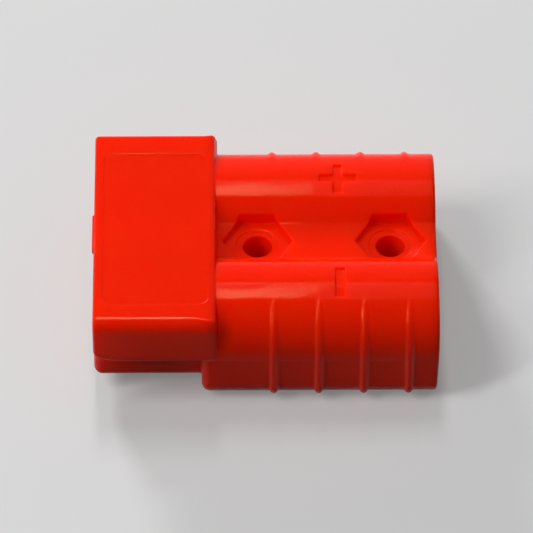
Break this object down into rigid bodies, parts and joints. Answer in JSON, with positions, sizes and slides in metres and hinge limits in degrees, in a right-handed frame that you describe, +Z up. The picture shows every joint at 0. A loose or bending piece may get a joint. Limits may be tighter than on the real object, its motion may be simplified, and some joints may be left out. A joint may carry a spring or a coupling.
{
  "type": "genderless power connector",
  "caption": "Two-pole genderless DC power connector: a one-piece moulded housing with hood and tongue, silver-plated crimp contacts and leaf springs.",
  "frame": {"origin": "centre of the base, on the plane that the connector rests on", "axes": "+X from the mating end to the wire end, +Y towards the positive pole, +Z up through the hood's top"},
  "size_m": [0.0482, 0.0368, 0.016],
  "materials": {
    "housing": "gloss moulded polycarbonate",
    "contact": "silver plate on copper",
    "spring": "rolled stainless strip"
  },
  "bodies": {
    "root": {"housing": "housing", "contact_positive": "contact", "contact_negative": "contact", "spring_positive": "spring", "spring_negative": "spring"}
  },
  "joints": []
}
